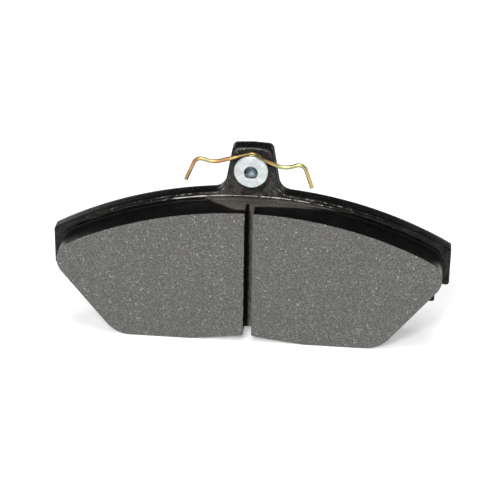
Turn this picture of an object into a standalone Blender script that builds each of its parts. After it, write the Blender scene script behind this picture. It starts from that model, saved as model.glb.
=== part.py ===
"""Disc brake pad: a painted steel back plate with a moulded friction block, and a wire anti-rattle
spring held on the plate's top tab by a hollow-headed rivet.

The pad stands on its lower edge. +X runs along the pad, +Y from the friction face to the back
plate, +Z up to the tab. The origin is at the middle of the footprint. Lengths are in metres.
"""
import math

import bmesh
import bpy
from mathutils import Matrix, Vector

MM = 0.001

# Layers, from the friction face to the back
BLOCK_THICKNESS = 8.6 * MM
UNDERLAYER_THICKNESS = 1.5 * MM
PLATE_THICKNESS = 5.0 * MM
GAP = 0.3 * MM

# Friction block, with its lower edge as the zero of height
BLOCK_TOP = 46.95 * MM
BLOCK_TOP_RADIUS = 130.6 * MM
BLOCK_SLANT = math.radians(38.4)
BLOCK_FOOT = 43.5 * MM
BLOCK_SHOULDER_FILLET = 7.0 * MM
BLOCK_FOOT_FILLET = 10.5 * MM
ARC_SHARE = 0.84
SLOT_WIDTH = 2.7 * MM
SLOT_DEPTH = 6.2 * MM
UNDERLAYER_MARGIN = 0.4 * MM

# Lower edge, shared by the block, the underlayer and the plate
ARCH_HEIGHT = 2.35 * MM
ARCH_HALF_SPAN = 18.5 * MM
ARCH_FILLET = 19.0 * MM

# Back plate
PLATE_LENGTH = 130.4 * MM
PLATE_MARGIN_ABOVE = 2.7 * MM
PLATE_MARGIN_SIDE = 1.5 * MM
EAR_BOTTOM = 19.5 * MM
STEP_HALF_LENGTH = 60.8 * MM
STEP_BOTTOM = 13.0 * MM
LEDGE_RISE = 0.3 * MM
CORNER_FILLET = 0.9 * MM
EDGE_CHAMFER = 0.5 * MM
EAR_FLAT = 3.25 * MM

# Tab
TAB_TOP = 65.4 * MM
TAB_TOP_HALF_WIDTH = 6.4 * MM
TAB_CROWN = 0.35 * MM
TAB_FLARE = math.radians(9.6)
TAB_TOP_FILLET = 1.8 * MM
TAB_ROOT_FILLET = 4.5 * MM
TAB_ROOT_REACH = 5.85 * MM

# Bonding keys that pass through the plate
KEY_RADIUS = 5.0 * MM
KEY_HEIGHT = 25.0 * MM
KEY_OFFSETS = (20.0 * MM, 42.0 * MM)

# Spring rivet
RIVET_HEIGHT = 58.7 * MM
FLANGE_RADIUS = 5.45 * MM
FLANGE_THICKNESS = 1.2 * MM
FLANGE_EDGE = 0.36 * MM
RIVET_SHOULDER_RADIUS = 2.85 * MM
RIVET_SHANK_RADIUS = 2.4 * MM
RIVET_BORE_RADIUS = 2.15 * MM
RIVET_BORE_DEPTH = 3.4 * MM
RIVET_BORE_POINT = 0.43 * MM
TAIL_RADIUS = 4.6 * MM
TAIL_THICKNESS = 1.2 * MM
TAIL_CROWN = 0.5 * MM
TAIL_FLAT_RADIUS = 2.8 * MM

# Spring wire. Its coil is a narrow oval that hangs loosely round the rivet's shoulder, a little high.
WIRE_RADIUS = 0.65 * MM
COIL_LIFT = 0.3 * MM
COIL_SIDE_PLAY = 0.35 * MM
COIL_FOOT_PLAY = 0.7 * MM
COIL_STEPS = 40
FLAT_TURN_SHARE = 0.08
ARM_START = 4.0 * MM
# Each arm falls from the coil to a shallow valley, rises to a bend and ends in a straight leg.
# Valley run, valley rise, bend run, bend rise, leg end run, leg end rise, all from the coil's centre
LEFT_ARM = (12.2 * MM, 1.0 * MM, 17.9 * MM, 2.45 * MM, 21.3 * MM, -5.55 * MM)
RIGHT_ARM = (10.5 * MM, 0.65 * MM, 16.65 * MM, 2.8 * MM, 19.5 * MM, -5.55 * MM)
VALLEY_FILLET = 7.0 * MM
BEND_FILLET = 2.4 * MM

# Places that follow from the sizes above
DEPTH = BLOCK_THICKNESS + UNDERLAYER_THICKNESS + PLATE_THICKNESS + TAIL_THICKNESS + 3 * GAP
FACE_Y = -DEPTH / 2
UNDERLAYER_Y = FACE_Y + BLOCK_THICKNESS + GAP
PLATE_FRONT_Y = UNDERLAYER_Y + UNDERLAYER_THICKNESS + GAP
PLATE_BACK_Y = PLATE_FRONT_Y + PLATE_THICKNESS
STRAND_PITCH = 2 * WIRE_RADIUS + GAP
REAR_STRAND_Y = PLATE_FRONT_Y - GAP - WIRE_RADIUS
FRONT_STRAND_Y = REAR_STRAND_Y - STRAND_PITCH
FLANGE_BACK_Y = FRONT_STRAND_Y - WIRE_RADIUS - GAP
COIL_MIDDLE_Y = (REAR_STRAND_Y + FRONT_STRAND_Y) / 2
COIL_HEIGHT = RIVET_HEIGHT + COIL_LIFT
COIL_HALF_WIDTH = RIVET_SHOULDER_RADIUS + WIRE_RADIUS + COIL_SIDE_PLAY
COIL_HALF_HEIGHT = RIVET_SHOULDER_RADIUS + WIRE_RADIUS + COIL_LIFT + COIL_FOOT_PLAY


def clear_scene():
    """Remove every object that is already in the file."""
    for item in list(bpy.data.objects):
        bpy.data.objects.remove(item, do_unlink=True)


def collection(name):
    """A new collection in the scene."""
    made = bpy.data.collections.new(name)
    bpy.context.scene.collection.children.link(made)
    return made


def finish_material(name, colour, roughness, metallic):
    """A Principled material with one colour."""
    made = bpy.data.materials.new(name)
    made.use_nodes = True
    shader = made.node_tree.nodes["Principled BSDF"]
    shader.inputs["Base Color"].default_value = (*colour, 1.0)
    shader.inputs["Roughness"].default_value = roughness
    shader.inputs["Metallic"].default_value = metallic
    return made


def run_share(neighbour):
    """How much of a run an arc may use: half where the corner at its other end is rounded too."""
    return 0.49 if neighbour[2] > 0 else 0.98


def fillet(corners, steps=5):
    """Points (x, z) along straight runs whose corners (x, z, radius) are rounded by arcs.

    The first and last corners are ends. An arc is shortened where a run is too short for it.
    """
    points = [Vector(corners[0][:2])]
    for before, here, after in zip(corners, corners[1:], corners[2:]):
        corner = Vector(here[:2])
        to_before = Vector(before[:2]) - corner
        to_after = Vector(after[:2]) - corner
        opening = to_before.angle(to_after)
        if here[2] == 0 or opening > math.radians(179):
            points.append(corner)
            continue
        reach = here[2] / math.tan(opening / 2)
        reach = min(reach, run_share(before) * to_before.length, run_share(after) * to_after.length)
        radius = reach * math.tan(opening / 2)
        bisector = (to_before.normalized() + to_after.normalized()).normalized()
        centre = corner + bisector * (radius / math.sin(opening / 2))
        start = corner + to_before.normalized() * reach - centre
        sweep = math.pi - opening
        if start.cross(corner + to_after.normalized() * reach - centre) < 0:
            sweep = -sweep
        for step in range(steps + 1):
            turn = Matrix.Rotation(sweep * step / steps, 2)
            points.append(centre + turn @ start)
    points.append(Vector(corners[-1][:2]))
    return [(point.x, point.y) for point in points]


def arc_height(radius, top, x):
    """Height at x of a circle of the given radius whose highest point is at x = 0, z = top."""
    return top - radius + math.sqrt(radius**2 - x**2)


def top_arc(radius, top, start_x, end_x, steps):
    """Corners along that circle, in equal steps of x."""
    corners = []
    for step in range(steps + 1):
        x = start_x + (end_x - start_x) * step / steps
        corners.append((x, arc_height(radius, top, x), 0))
    return corners


def slant_and_arc_corner(foot, radius, top):
    """Where the slanted side through (foot, 0) meets the top circle."""
    slope = math.tan(BLOCK_SLANT)
    centre = top - radius
    a = 1 + slope**2
    b = foot * slope - centre
    c = foot**2 + centre**2 - radius**2
    z = (-b + math.sqrt(b**2 - a * c)) / a
    return foot + slope * z, z


def lower_edge():
    """Corners of the lower edge's right half: a shallow arch in the middle, then flat."""
    return [(0, ARCH_HEIGHT, 0), (ARCH_HALF_SPAN, 0, ARCH_FILLET)]


def mirrored(half):
    """A closed outline from its right half, which runs from the bottom to the top centre."""
    left = [(-x, z) for x, z in reversed(half) if x > GAP / 10]
    return half + left


def lining_outline(margin):
    """Outline of the friction block, grown by a margin at its sides and top."""
    foot = BLOCK_FOOT + margin / math.cos(BLOCK_SLANT)
    radius = BLOCK_TOP_RADIUS + margin
    top = BLOCK_TOP + margin
    shoulder = slant_and_arc_corner(foot, radius, top)
    corners = lower_edge()
    corners.append((foot, 0, BLOCK_FOOT_FILLET))
    corners.append((*shoulder, BLOCK_SHOULDER_FILLET + margin))
    corners += top_arc(radius, top, ARC_SHARE * shoulder[0], 0, 12)
    return mirrored(fillet(corners))


def plate_outline():
    """Outline of the back plate: stepped ears, arched shoulders and the tab.

    Each ledge under an ear rises a little towards the middle, as a stamped relief does.
    """
    slope = math.tan(BLOCK_SLANT)
    foot = BLOCK_FOOT + PLATE_MARGIN_SIDE / math.cos(BLOCK_SLANT)
    radius = BLOCK_TOP_RADIUS + PLATE_MARGIN_ABOVE
    top = BLOCK_TOP + PLATE_MARGIN_ABOVE
    half_length = PLATE_LENGTH / 2
    tab_root = tab_half_width(top)
    arc_end = tab_root + TAB_ROOT_REACH
    corners = lower_edge()
    corners.append((foot, 0, BLOCK_FOOT_FILLET))
    ledge = STEP_BOTTOM + LEDGE_RISE
    corners.append((foot + slope * ledge, ledge, CORNER_FILLET))
    corners.append((STEP_HALF_LENGTH, STEP_BOTTOM, CORNER_FILLET))
    corners.append((STEP_HALF_LENGTH, EAR_BOTTOM + LEDGE_RISE, CORNER_FILLET))
    corners.append((half_length, EAR_BOTTOM, CORNER_FILLET))
    corners.append((half_length, arc_height(radius, top, half_length), CORNER_FILLET))
    corners += top_arc(radius, top, half_length - EAR_FLAT, arc_end, 10)
    root_z = corners[-1][1] + (arc_end - tab_root) * arc_end / radius
    corners.append((tab_half_width(root_z), root_z, TAB_ROOT_FILLET))
    corners.append((TAB_TOP_HALF_WIDTH, TAB_TOP - TAB_CROWN, TAB_TOP_FILLET))
    corners.append((0, TAB_TOP, 0))
    return mirrored(fillet(corners))


def hole_outline(x, z, radius, sides=32):
    """A circle about (x, z), run clockwise, and turned by half a side so that it is even."""
    points = []
    for side in range(sides):
        angle = -2 * math.pi * (side + 0.5) / sides
        points.append((x + radius * math.cos(angle), z + radius * math.sin(angle)))
    return points


def tab_half_width(z):
    """Half the tab's width at height z."""
    return TAB_TOP_HALF_WIDTH + (TAB_TOP - z) * math.tan(TAB_FLARE)


def as_mesh_object(item, home):
    """Replace a curve object by a welded mesh object in the collection home.

    Triangles of one flat face are joined into one face.
    """
    graph = bpy.context.evaluated_depsgraph_get()
    mesh = bpy.data.meshes.new_from_object(item.evaluated_get(graph))
    shell = bmesh.new()
    shell.from_mesh(mesh)
    bmesh.ops.remove_doubles(shell, verts=shell.verts, dist=GAP / 100)
    bmesh.ops.dissolve_limit(shell, angle_limit=math.radians(0.05), verts=shell.verts,
                             edges=shell.edges)
    bmesh.ops.recalc_face_normals(shell, faces=shell.faces)
    shell.to_mesh(mesh)
    shell.free()
    made = bpy.data.objects.new(item.name + "_mesh", mesh)
    made.matrix_world = item.matrix_world
    name = item.name
    bpy.data.objects.remove(item, do_unlink=True)
    made.name = name
    home.objects.link(made)
    return made


def upright_sheet(name, outlines, front_y, thickness, home, chamfer=0):
    """Flat outlines (x, z) given a thickness, standing with their front face at front_y.

    Outlines inside the first are holes, and run the other way round. A chamfer takes the
    sharpness off the front and back edges.
    """
    curve = bpy.data.curves.new(name, "CURVE")
    curve.dimensions = "2D"
    curve.fill_mode = "BOTH"
    curve.extrude = thickness / 2 - chamfer
    curve.bevel_depth = chamfer
    curve.bevel_resolution = 0
    curve.offset = -chamfer
    for outline in outlines:
        spline = curve.splines.new("POLY")
        spline.points.add(len(outline) - 1)
        for point, (x, z) in zip(spline.points, outline):
            point.co = (x, z, 0, 1)
        spline.use_cyclic_u = True
    item = bpy.data.objects.new(name, curve)
    item.rotation_euler = (math.pi / 2, 0, 0)
    item.location = (0, front_y + thickness / 2, 0)
    home.objects.link(item)
    bpy.context.view_layer.update()
    return as_mesh_object(item, home)


def upright_cylinder(name, x, z, radius, front_y, back_y, home, sides=32):
    """A cylinder along Y between two faces."""
    shell = bmesh.new()
    bmesh.ops.create_cone(shell, cap_ends=True, segments=sides, radius1=radius, radius2=radius,
                          depth=back_y - front_y)
    mesh = bpy.data.meshes.new(name)
    shell.to_mesh(mesh)
    shell.free()
    item = bpy.data.objects.new(name, mesh)
    item.rotation_euler = (math.pi / 2, 0, 0)
    item.location = (x, (front_y + back_y) / 2, z)
    home.objects.link(item)
    return item


def upright_box(name, size, centre, home):
    """A box of the given size about its centre."""
    shell = bmesh.new()
    bmesh.ops.create_cube(shell, size=1)
    bmesh.ops.scale(shell, vec=size, verts=shell.verts)
    mesh = bpy.data.meshes.new(name)
    shell.to_mesh(mesh)
    shell.free()
    item = bpy.data.objects.new(name, mesh)
    item.location = centre
    home.objects.link(item)
    return item


def boolean(item, other, operation):
    """Cut or join another mesh object, which stays as a hidden guide."""
    other.display_type = "WIRE"
    other.hide_render = True
    step = item.modifiers.new(other.name, "BOOLEAN")
    step.operation = operation
    step.object = other
    step.solver = "EXACT"


def key_places():
    """The places (x, z) of the bonding keys, two on each side of the middle."""
    return [(side * offset, KEY_HEIGHT) for offset in KEY_OFFSETS for side in (-1, 1)]


def make_friction_block(parts, cutters):
    """The moulded block, with its slot open at the friction face and at both edges."""
    block = upright_sheet("friction_block", [lining_outline(0)], FACE_Y, BLOCK_THICKNESS, parts)
    size = (SLOT_WIDTH, 2 * SLOT_DEPTH, 2 * BLOCK_TOP)
    slot = upright_box("slot_cutter", size, (0, FACE_Y, BLOCK_TOP / 2), cutters)
    boolean(block, slot, "DIFFERENCE")
    return block


def make_underlayer(parts, cutters):
    """The bonding layer behind the block, with keys that fill the plate's holes."""
    layer = upright_sheet("underlayer", [lining_outline(UNDERLAYER_MARGIN)], UNDERLAYER_Y,
                          UNDERLAYER_THICKNESS, parts)
    start = UNDERLAYER_Y + UNDERLAYER_THICKNESS / 2
    for number, (x, z) in enumerate(key_places(), 1):
        key = upright_cylinder(f"key_{number}", x, z, KEY_RADIUS, start, PLATE_BACK_Y - GAP, cutters)
        boolean(layer, key, "UNION")
    return layer


def make_back_plate(parts):
    """The stamped plate, with chamfered edges and holes for the keys and the rivet."""
    outlines = [plate_outline()]
    outlines += [hole_outline(x, z, KEY_RADIUS + GAP) for x, z in key_places()]
    outlines.append(hole_outline(0, RIVET_HEIGHT, RIVET_SHANK_RADIUS + GAP))
    return upright_sheet("back_plate", outlines, PLATE_FRONT_Y, PLATE_THICKNESS, parts,
                         EDGE_CHAMFER)


def make_rivet(parts):
    """The rivet, turned about Y: flange with a blind bore, shoulder, shank and tail head."""
    flange_front = FLANGE_BACK_Y - FLANGE_THICKNESS
    shoulder_end = PLATE_FRONT_Y - GAP
    tail_front = PLATE_BACK_Y + GAP
    bore_end = flange_front + RIVET_BORE_DEPTH
    profile = [
        (0, bore_end),
        (RIVET_BORE_RADIUS - RIVET_BORE_POINT, bore_end - RIVET_BORE_POINT),
        (RIVET_BORE_RADIUS, bore_end - RIVET_BORE_RADIUS),
        (RIVET_BORE_RADIUS, flange_front + FLANGE_EDGE / 2),
        (RIVET_BORE_RADIUS + FLANGE_EDGE / 2, flange_front),
        (FLANGE_RADIUS - FLANGE_EDGE, flange_front),
        (FLANGE_RADIUS, flange_front + FLANGE_EDGE),
        (FLANGE_RADIUS, FLANGE_BACK_Y),
        (RIVET_SHOULDER_RADIUS, FLANGE_BACK_Y),
        (RIVET_SHOULDER_RADIUS, shoulder_end),
        (RIVET_SHANK_RADIUS, shoulder_end),
        (RIVET_SHANK_RADIUS, tail_front),
        (TAIL_RADIUS, tail_front),
        (TAIL_RADIUS - TAIL_CROWN / 2, tail_front + TAIL_THICKNESS - TAIL_CROWN),
        (TAIL_FLAT_RADIUS, tail_front + TAIL_THICKNESS),
        (0, tail_front + TAIL_THICKNESS),
    ]
    mesh = bpy.data.meshes.new("spring_rivet")
    points = [(radius, 0, -y) for radius, y in profile]
    runs = [(number, number + 1) for number in range(len(profile) - 1)]
    mesh.from_pydata(points, runs, [])
    rivet = bpy.data.objects.new("spring_rivet", mesh)
    turned = rivet.modifiers.new("turned", "SCREW")
    turned.steps = 32
    turned.render_steps = 32
    turned.use_merge_vertices = True
    turned.merge_threshold = GAP / 100
    rivet.rotation_euler = (math.pi / 2, 0, 0)
    rivet.location = (0, 0, RIVET_HEIGHT)
    parts.objects.link(rivet)
    return rivet


def coil_tangent(side, arm):
    """Angle round the coil's oval at which the arm's first run leaves it.

    The run ends at the valley, and its line touches the oval. Widened to a circle, the oval keeps
    its tangents.
    """
    widening = COIL_HALF_HEIGHT / COIL_HALF_WIDTH
    valley = Vector((side * arm[0] * widening, arm[1]))
    towards = math.atan2(valley.y, valley.x)
    return towards + side * math.acos(COIL_HALF_HEIGHT / valley.length)


def coil_place(angle):
    """The point (x, z) of the coil's oval at an angle."""
    return Vector((COIL_HALF_WIDTH * math.cos(angle), COIL_HEIGHT + COIL_HALF_HEIGHT * math.sin(angle)))


def hinge_place(side, arm):
    """The point (x, z) where the arm's own piece begins, on its first run."""
    touch = coil_place(coil_tangent(side, arm))
    valley = Vector((side * arm[0], COIL_HEIGHT + arm[1]))
    return touch + (valley - touch).normalized() * ARM_START


def arm_path(side, arm, y):
    """Points along an arm, from its start to the end of its leg."""
    start = hinge_place(side, arm)
    corners = [(*start, 0)]
    for number, radius in ((0, VALLEY_FILLET), (2, BEND_FILLET), (4, 0)):
        corners.append((side * arm[number], COIL_HEIGHT + arm[number + 1], radius))
    first_run = (Vector(corners[1][:2]) - Vector(start)).normalized() * GAP
    corners[0] = (start[0] + first_run.x, start[1] + first_run.y, 0)
    return [(x, y, z) for x, z in fillet(corners)]


def coil_path():
    """Points from the left arm's start, once round the rivet, to the right arm's start.

    The turn is a helix that steps forward by the strand pitch. It is flat for a short share of the
    turn at each end, where the arms leave it.
    """
    left_angle = coil_tangent(-1, LEFT_ARM)
    sweep = 2 * math.pi + left_angle - coil_tangent(1, RIGHT_ARM)
    left = hinge_place(-1, LEFT_ARM)
    right = hinge_place(1, RIGHT_ARM)
    points = [(left[0], REAR_STRAND_Y, left[1])]
    for step in range(COIL_STEPS + 1):
        share = step / COIL_STEPS
        angle = left_angle - sweep * share
        x, z = coil_place(angle)
        forward = (share - FLAT_TURN_SHARE) / (1 - 2 * FLAT_TURN_SHARE)
        points.append((x, REAR_STRAND_Y - STRAND_PITCH * min(max(forward, 0), 1), z))
    points.append((right[0], FRONT_STRAND_Y, right[1]))
    return points


def wire(name, points, parts):
    """A round wire along the points, with flat ends."""
    curve = bpy.data.curves.new(name, "CURVE")
    curve.dimensions = "3D"
    curve.bevel_depth = WIRE_RADIUS
    curve.bevel_resolution = 2
    curve.use_fill_caps = True
    spline = curve.splines.new("POLY")
    spline.points.add(len(points) - 1)
    for point, place in zip(spline.points, points):
        point.co = (*place, 1)
    item = bpy.data.objects.new(name, curve)
    parts.objects.link(item)
    return item


def hang(item, place, carrier, parts):
    """Parent a piece, unmoved, to a new empty on its joint's axis, which hangs on the carrier."""
    pivot = bpy.data.objects.new(item.name + "_pivot", None)
    pivot.location = place
    pivot.empty_display_size = 2 * COIL_HALF_WIDTH
    parts.objects.link(pivot)
    if carrier is not None:
        pivot.parent = carrier
        pivot.matrix_parent_inverse = Matrix.Translation(carrier.location).inverted()
    item.parent = pivot
    item.matrix_parent_inverse = Matrix.Translation(place).inverted()
    return pivot


def make_spring(parts):
    """The spring wire: its coil, which swivels on the rivet, and two arms, which flex on the coil."""
    coil = wire("spring_coil", coil_path(), parts)
    centre = hang(coil, Vector((0, COIL_MIDDLE_Y, RIVET_HEIGHT)), None, parts)
    pieces = [coil]
    for name, side, arm, y in (("spring_arm_left", -1, LEFT_ARM, REAR_STRAND_Y),
                               ("spring_arm_right", 1, RIGHT_ARM, FRONT_STRAND_Y)):
        item = wire(name, arm_path(side, arm, y), parts)
        x, z = hinge_place(side, arm)
        hang(item, Vector((x, y, z)), centre, parts)
        pieces.append(item)
    return pieces


def round_shading(item):
    """Shade a round piece smooth, with its real edges kept sharp."""
    if item.type == "MESH":
        item.data.shade_smooth()
        item.data.set_sharp_from_angle(angle=math.radians(35))


def build():
    """Make every piece of the pad and give it its material."""
    clear_scene()
    parts = collection("brake_pad")
    cutters = collection("cutters")
    black_paint = finish_material("black_paint", (0.012, 0.012, 0.013), 0.35, 0.0)
    friction = finish_material("friction_compound", (0.15, 0.15, 0.15), 0.9, 0.0)
    bonding = finish_material("bonding_layer", (0.10, 0.09, 0.08), 0.8, 0.0)
    zinc = finish_material("zinc_plate", (0.70, 0.74, 0.76), 0.35, 1.0)
    yellow_zinc = finish_material("yellow_zinc", (0.72, 0.52, 0.22), 0.25, 1.0)
    pieces = [
        (make_friction_block(parts, cutters), friction),
        (make_underlayer(parts, cutters), bonding),
        (make_back_plate(parts), black_paint),
        (make_rivet(parts), zinc),
    ]
    pieces += [(item, yellow_zinc) for item in make_spring(parts)]
    for item, material in pieces:
        item.data.materials.append(material)
    for item, _ in pieces[3:]:
        round_shading(item)


build()
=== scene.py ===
"""Looks of a disc brake pad: moulded friction block, painted stamped plate, zinc rivet, yellow wire.

Each shape is a numpy surface. Lengths are in metres, with the pad standing on its lower edge, +X
along it, +Y from the friction face to the plate and +Z up. Outlines repeat the pad's own design
sizes, and their places in depth are read from the frame.
"""
import math

import bmesh
import bpy
import numpy as np
from mathutils import Matrix, Vector


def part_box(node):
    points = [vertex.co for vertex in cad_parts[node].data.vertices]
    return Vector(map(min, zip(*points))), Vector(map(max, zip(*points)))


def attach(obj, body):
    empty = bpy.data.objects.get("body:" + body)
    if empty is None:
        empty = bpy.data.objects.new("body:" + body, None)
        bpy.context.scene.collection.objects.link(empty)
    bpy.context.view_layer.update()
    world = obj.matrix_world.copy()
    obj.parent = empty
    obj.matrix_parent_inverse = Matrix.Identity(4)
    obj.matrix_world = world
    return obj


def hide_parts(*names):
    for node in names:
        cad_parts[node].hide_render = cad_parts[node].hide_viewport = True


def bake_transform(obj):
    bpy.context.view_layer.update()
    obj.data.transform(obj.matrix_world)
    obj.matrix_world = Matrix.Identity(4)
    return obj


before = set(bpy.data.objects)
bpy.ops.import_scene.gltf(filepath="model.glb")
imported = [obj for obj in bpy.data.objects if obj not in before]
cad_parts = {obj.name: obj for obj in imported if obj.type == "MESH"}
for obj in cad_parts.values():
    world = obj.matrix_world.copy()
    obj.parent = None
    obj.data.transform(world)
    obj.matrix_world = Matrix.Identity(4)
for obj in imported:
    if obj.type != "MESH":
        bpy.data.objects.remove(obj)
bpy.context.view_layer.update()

MM = 0.001
SAME_POINT = 1e-7

# Depths read from the frame
FACE_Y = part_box("friction_block")[0].y
PLATE_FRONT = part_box("back_plate")[0].y
PLATE_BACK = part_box("back_plate")[1].y
UNDERLAYER_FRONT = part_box("underlayer")[0].y
RIVET_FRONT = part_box("spring_rivet")[0].y
RIVET_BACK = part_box("spring_rivet")[1].y
RIVET_HEIGHT = (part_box("spring_rivet")[0].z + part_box("spring_rivet")[1].z) / 2
TAB_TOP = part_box("back_plate")[1].z
BLOCK_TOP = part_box("friction_block")[1].z
HALF_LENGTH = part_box("back_plate")[1].x

# Block and plate outline: half lengths and heights from the lower edge, fillets and margins
TOP_RADIUS = 130.6 * MM
SLANT = math.radians(38.4)
FOOT = 43.5 * MM
FOOT_FILLET = 10.5 * MM
SHOULDER_FILLET = 7.0 * MM
ARC_SHARE = 0.84
ARCH_HEIGHT = 2.35 * MM
ARCH_HALF_SPAN = 18.5 * MM
ARCH_FILLET = 19.0 * MM
UNDERLAYER_MARGIN = 0.4 * MM
PLATE_MARGIN_ABOVE = 2.7 * MM
PLATE_MARGIN_SIDE = 1.5 * MM
EAR_BOTTOM = 19.5 * MM
STEP_HALF_LENGTH = 60.8 * MM
STEP_BOTTOM = 13.0 * MM
LEDGE_RISE = 0.3 * MM
CORNER_FILLET = 0.9 * MM
TAB_TOP_HALF_WIDTH = 6.4 * MM
TAB_CROWN = 0.35 * MM
TAB_FLARE = math.radians(9.6)
TAB_TOP_FILLET = 1.8 * MM
TAB_ROOT_FILLET = 4.5 * MM
TAB_ROOT_REACH = 5.85 * MM
EAR_FLAT = 3.25 * MM

# Distance that noise along an edge walks while it goes once round an outline
OUTLINE_WALK = 350 * MM

# Friction block: the ground face lies a little behind the highest grains, and its edge crumbles
FACE_RECESS = 0.03 * MM
CRUMBLED_EDGE = 0.16 * MM
SPINE_SHARE = 0.62
SPINE_GAP = 0.015

# Slot: its floor sinks towards the top, and its mouth widens at the lower edge
SLOT_HALF_WIDTH = 1.35 * MM
SLOT_DEPTH = 6.2 * MM
SLOT_SINK = 1.1 * MM
SLOT_FLARE = 0.45 * MM
SLOT_EDGE = 0.15 * MM
SLOT_CORNER = 0.5 * MM

# Bonding layer and the bead of adhesive beside it
UNDERLAYER_FLASH = 0.45 * MM
UNDERLAYER_WAVER = 0.12 * MM
BEAD_RISE = 0.9 * MM
BEAD_RADIUS = 0.15 * MM
BEAD_LOWEST = 8 * MM
BEAD_END_TAPER = 2 * MM

# Bonding keys: in the finished meshes they nearly fill their holes
KEY_RADIUS = 5.0 * MM
KEY_HEIGHT = 25.0 * MM
KEY_OFFSETS = (20.0 * MM, 42.0 * MM)
KEY_RECESS = 0.3 * MM
KEY_GROWTH = 0.2 * MM
KEY_FIT = 0.08 * MM

# Back plate: a rolled front edge from the stamping, and a fine burr edge behind
ROLL_INSET = 0.7 * MM
ROLL_DEPTH = 0.55 * MM
BURR_EDGE = 0.18 * MM
RIVET_HOLE_FIT = 0.2 * MM

# Rivet: radii and depths, with the cone at the bore's end as (radius, rise) in mm, and the radii in
# mm of the rings on the flange's face
FLANGE_RADIUS = 5.45 * MM
FLANGE_THICKNESS = 1.2 * MM
SHOULDER_RADIUS = 2.85 * MM
SHANK_RADIUS = 2.4 * MM
BORE_RADIUS = 2.15 * MM
BORE_DEPTH = 3.4 * MM
TAIL_RADIUS = 4.6 * MM
FLANGE_RECESS = 0.05 * MM
FLANGE_RIM = 0.4 * MM
BORE_LIP = 0.25 * MM
BORE_CONE = ((0.02, 0.0), (0.5, 0.12), (1.1, 0.45), (1.7, 1.0), (2.0, 1.5))
CONE_RISE = 1.9 * MM
FLANGE_RINGS = (2.7, 3.1, 3.6, 4.1, 4.6, 5.0)

# Spring wire: valley run and rise, bend run and rise, leg end run and rise, from the coil's centre
WIRE_RADIUS = 0.65 * MM
WIRE_GAP = 0.3 * MM
STRAND_PITCH = 2 * WIRE_RADIUS + WIRE_GAP
COIL_LIFT = 0.3 * MM
COIL_HALF_WIDTH = SHOULDER_RADIUS + WIRE_RADIUS + 0.35 * MM
COIL_HALF_HEIGHT = SHOULDER_RADIUS + WIRE_RADIUS + COIL_LIFT + 0.7 * MM
COIL_HEIGHT = RIVET_HEIGHT + COIL_LIFT
FLAT_TURN_SHARE = 0.08
LEFT_ARM = (12.2 * MM, 1.0 * MM, 17.9 * MM, 2.45 * MM, 21.3 * MM, -5.55 * MM)
RIGHT_ARM = (10.5 * MM, 0.65 * MM, 16.65 * MM, 2.8 * MM, 19.5 * MM, -5.55 * MM)
VALLEY_FILLET = 7.0 * MM
BEND_FILLET = 2.4 * MM
REAR_STRAND_Y = PLATE_FRONT - WIRE_GAP - WIRE_RADIUS
FRONT_STRAND_Y = REAR_STRAND_Y - STRAND_PITCH
WIRE_CUT_EDGE = 0.25

# Camera: how far round to the right it stands, its rise and its roll, in degrees, then its lens in mm
CAMERA_ANGLES = (5.05, 28.41, 0.87)
CAMERA_DISTANCE = 0.6088
CAMERA_AIM_HEIGHT = 23.3 * MM
SENSOR_WIDTH = 36
FOCAL_LENGTH = 135.27
LENS_SHIFT = (0.0048, 0.0590)

# Backdrop, far outside the object
BACKDROP_RADIUS = 3.0
BACKDROP_HEIGHT = 0.45

# Colours of the compound: its matrix, its tints and its grains
MATRIX_DARK, MATRIX_PALE = (0.070, 0.068, 0.064), (0.180, 0.177, 0.167)
MATRIX_CLOUD = (0.100, 0.101, 0.097)
WARM_TINT, GREEN_TINT = (0.160, 0.128, 0.104), (0.104, 0.132, 0.118)
DARK_GRAIN, PALE_GRAIN = (0.058, 0.056, 0.053), (0.345, 0.340, 0.315)
WHITE_FLAKE, BRASS_FLAKE, RUST_GRAIN = (0.60, 0.585, 0.53), (0.40, 0.335, 0.21), (0.14, 0.085, 0.060)
SLOT_DARK, SLOT_PALE = (0.085, 0.078, 0.066), (0.185, 0.172, 0.150)

# Colours of the black paint and of what lies on it: dust, specks, and bare edges that also stand in for
# highlights, with a painted shadow in the slot
BLOCK_PAINT, BLOCK_PAINT_WARM = (0.0022, 0.0020, 0.0020), (0.0048, 0.0036, 0.0034)
BLOCK_DUST_DARK, BLOCK_DUST_PALE = (0.055, 0.050, 0.042), (0.118, 0.110, 0.096)
BLOCK_SPECK, SLOT_PAINTED_SHADOW = (0.10, 0.095, 0.085), (0.003, 0.003, 0.003)
PLATE_PAINT, PLATE_PAINT_WARM = (0.0030, 0.0028, 0.0028), (0.0065, 0.0045, 0.0042)
PLATE_DUST_DARK, PLATE_DUST_PALE = (0.042, 0.040, 0.035), (0.106, 0.102, 0.090)
PLATE_SPECK, PLATE_WEAR_AND_HIGHLIGHT = (0.20, 0.195, 0.18), (0.34, 0.32, 0.285)
TAB_RUB_AND_HIGHLIGHT = (0.20, 0.195, 0.185)
RESIN_BLACK, RESIN_PALE = (0.010, 0.010, 0.009), (0.66, 0.645, 0.60)

# Colours of the zinc and of the yellow wire, with painted shade and painted light in the bore and painted
# shade on the wire by the coil
ZINC_GREY, ZINC_BLUE = (0.53, 0.54, 0.53), (0.66, 0.75, 0.76)
ZINC_SCUFF, ZINC_PIT = (0.40, 0.40, 0.38), (0.22, 0.20, 0.18)
BORE_WALL_SHADE, BORE_FLOOR_SHADE, BORE_LIT = (0.040, 0.070, 0.090), (0.17, 0.235, 0.260), (0.52, 0.60, 0.62)
WIRE_PINK, WIRE_GOLD, WIRE_GREEN = (0.46, 0.26, 0.12), (0.58, 0.43, 0.17), (0.44, 0.47, 0.22)
WIRE_STREAK, WIRE_SHADED = (0.30, 0.16, 0.09), (0.22, 0.17, 0.065)


# ---------------------------------------------------------------- noise and outlines

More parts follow.
